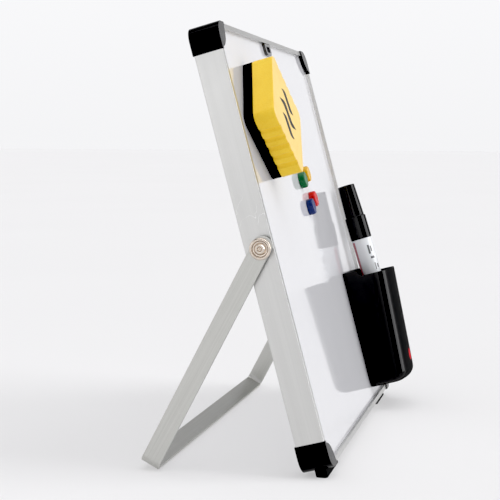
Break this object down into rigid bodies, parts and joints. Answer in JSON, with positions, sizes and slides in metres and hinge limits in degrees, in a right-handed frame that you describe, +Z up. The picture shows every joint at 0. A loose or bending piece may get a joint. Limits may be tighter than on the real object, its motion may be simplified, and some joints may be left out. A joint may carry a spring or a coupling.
{
  "type": "magnetic desk whiteboard easel",
  "caption": "Small framed magnetic whiteboard that leans on a swivelling bail stand, with its eraser, button magnets, magnetic pen holder and capped marker.",
  "frame": {"origin": "on the table, under the middle of the whole object's bounding box", "axes": "+X to the right across the board as its user sees it, +Y from the writing face towards the stand, +Z up from the table"},
  "size_m": [0.2676, 0.1304, 0.2521],
  "materials": {
    "rail": "satin anodised",
    "corner_cap": "moulded, semi-gloss",
    "sheet": "gloss enamel",
    "core": "raw fibreboard",
    "loop": "moulded, semi-gloss",
    "foot": "matt",
    "anchor": "as extruded",
    "spacer": "turned nylon",
    "pivot": "satin nickel plate",
    "stand": "satin anodised",
    "felt": "pressed felt",
    "foam": "closed-cell foam",
    "ferrite": "sintered ferrite",
    "button_green": "moulded, gloss",
    "button_yellow": "moulded, gloss",
    "button_red": "moulded, gloss",
    "button_blue": "moulded, gloss",
    "holder": "moulded, gloss",
    "barrel": "moulded, gloss",
    "marker_black": "moulded, satin",
    "ink_fibre": "ink-soaked fibre",
    "seal": "moulded"
  },
  "bodies": {
    "board": {"rail_left": "rail", "rail_right": "rail", "rail_top": "rail", "rail_bottom": "rail", "corner_cap_top_left": "corner_cap", "corner_cap_top_right": "corner_cap", "corner_cap_bottom_left": "corner_cap", "corner_cap_bottom_right": "corner_cap", "front_sheet": "sheet", "back_sheet": "sheet", "core_panel": "core", "hanging_loop": "loop", "foot_left": "foot", "foot_right": "foot", "anchor_left": "anchor", "anchor_right": "anchor", "spacer_left": "spacer", "spacer_right": "spacer", "cup_washer_left": "pivot", "cup_washer_right": "pivot", "pivot_rivet_left": "pivot", "pivot_rivet_right": "pivot"},
    "stand": {"stand": "stand"},
    "eraser": {"eraser_felt": "felt", "eraser_grip": "foam", "eraser_magnet": "ferrite"},
    "button_green": {"button_green": "button_green", "disc_green": "ferrite"},
    "button_yellow": {"button_yellow": "button_yellow", "disc_yellow": "ferrite"},
    "button_red": {"button_red": "button_red", "disc_red": "ferrite"},
    "button_blue": {"button_blue": "button_blue", "disc_blue": "ferrite"},
    "holder": {"pen_holder": "holder", "holder_magnets": "ferrite"},
    "marker": {"marker_barrel": "barrel", "marker_end_plug": "marker_black", "marker_reservoir": "ink_fibre", "marker_collar": "marker_black", "marker_nib": "ink_fibre"},
    "cap": {"marker_cap": "marker_black", "cap_seal": "seal"}
  },
  "joints": [
    {"name": "stand_pivot", "type": "hinge", "parent": "board", "child": "stand", "pos_m": [0, -0.00434, 0.12728], "axis": [1, 0, 0], "continuous": true},
    {"name": "eraser_lift", "type": "slide", "parent": "board", "child": "eraser", "axis": [0, -0.965, 0.2622], "range_m": [0, 0.06]},
    {"name": "button_green_lift", "type": "slide", "parent": "board", "child": "button_green", "axis": [0, -0.965, 0.2622], "range_m": [0, 0.04]},
    {"name": "button_yellow_lift", "type": "slide", "parent": "board", "child": "button_yellow", "axis": [0, -0.965, 0.2622], "range_m": [0, 0.04]},
    {"name": "button_red_lift", "type": "slide", "parent": "board", "child": "button_red", "axis": [0, -0.965, 0.2622], "range_m": [0, 0.04]},
    {"name": "button_blue_lift", "type": "slide", "parent": "board", "child": "button_blue", "axis": [0, -0.965, 0.2622], "range_m": [0, 0.04]},
    {"name": "holder_lift", "type": "slide", "parent": "board", "child": "holder", "axis": [0, -0.965, 0.2622], "range_m": [0, 0.06]},
    {"name": "marker_lift", "type": "slide", "parent": "holder", "child": "marker", "axis": [0.0349, 0.3007, 0.9531], "range_m": [0, 0.085]},
    {"name": "cap_pull", "type": "slide", "parent": "marker", "child": "cap", "axis": [0.0349, 0.3007, 0.9531], "range_m": [0, 0.045]}
  ]
}
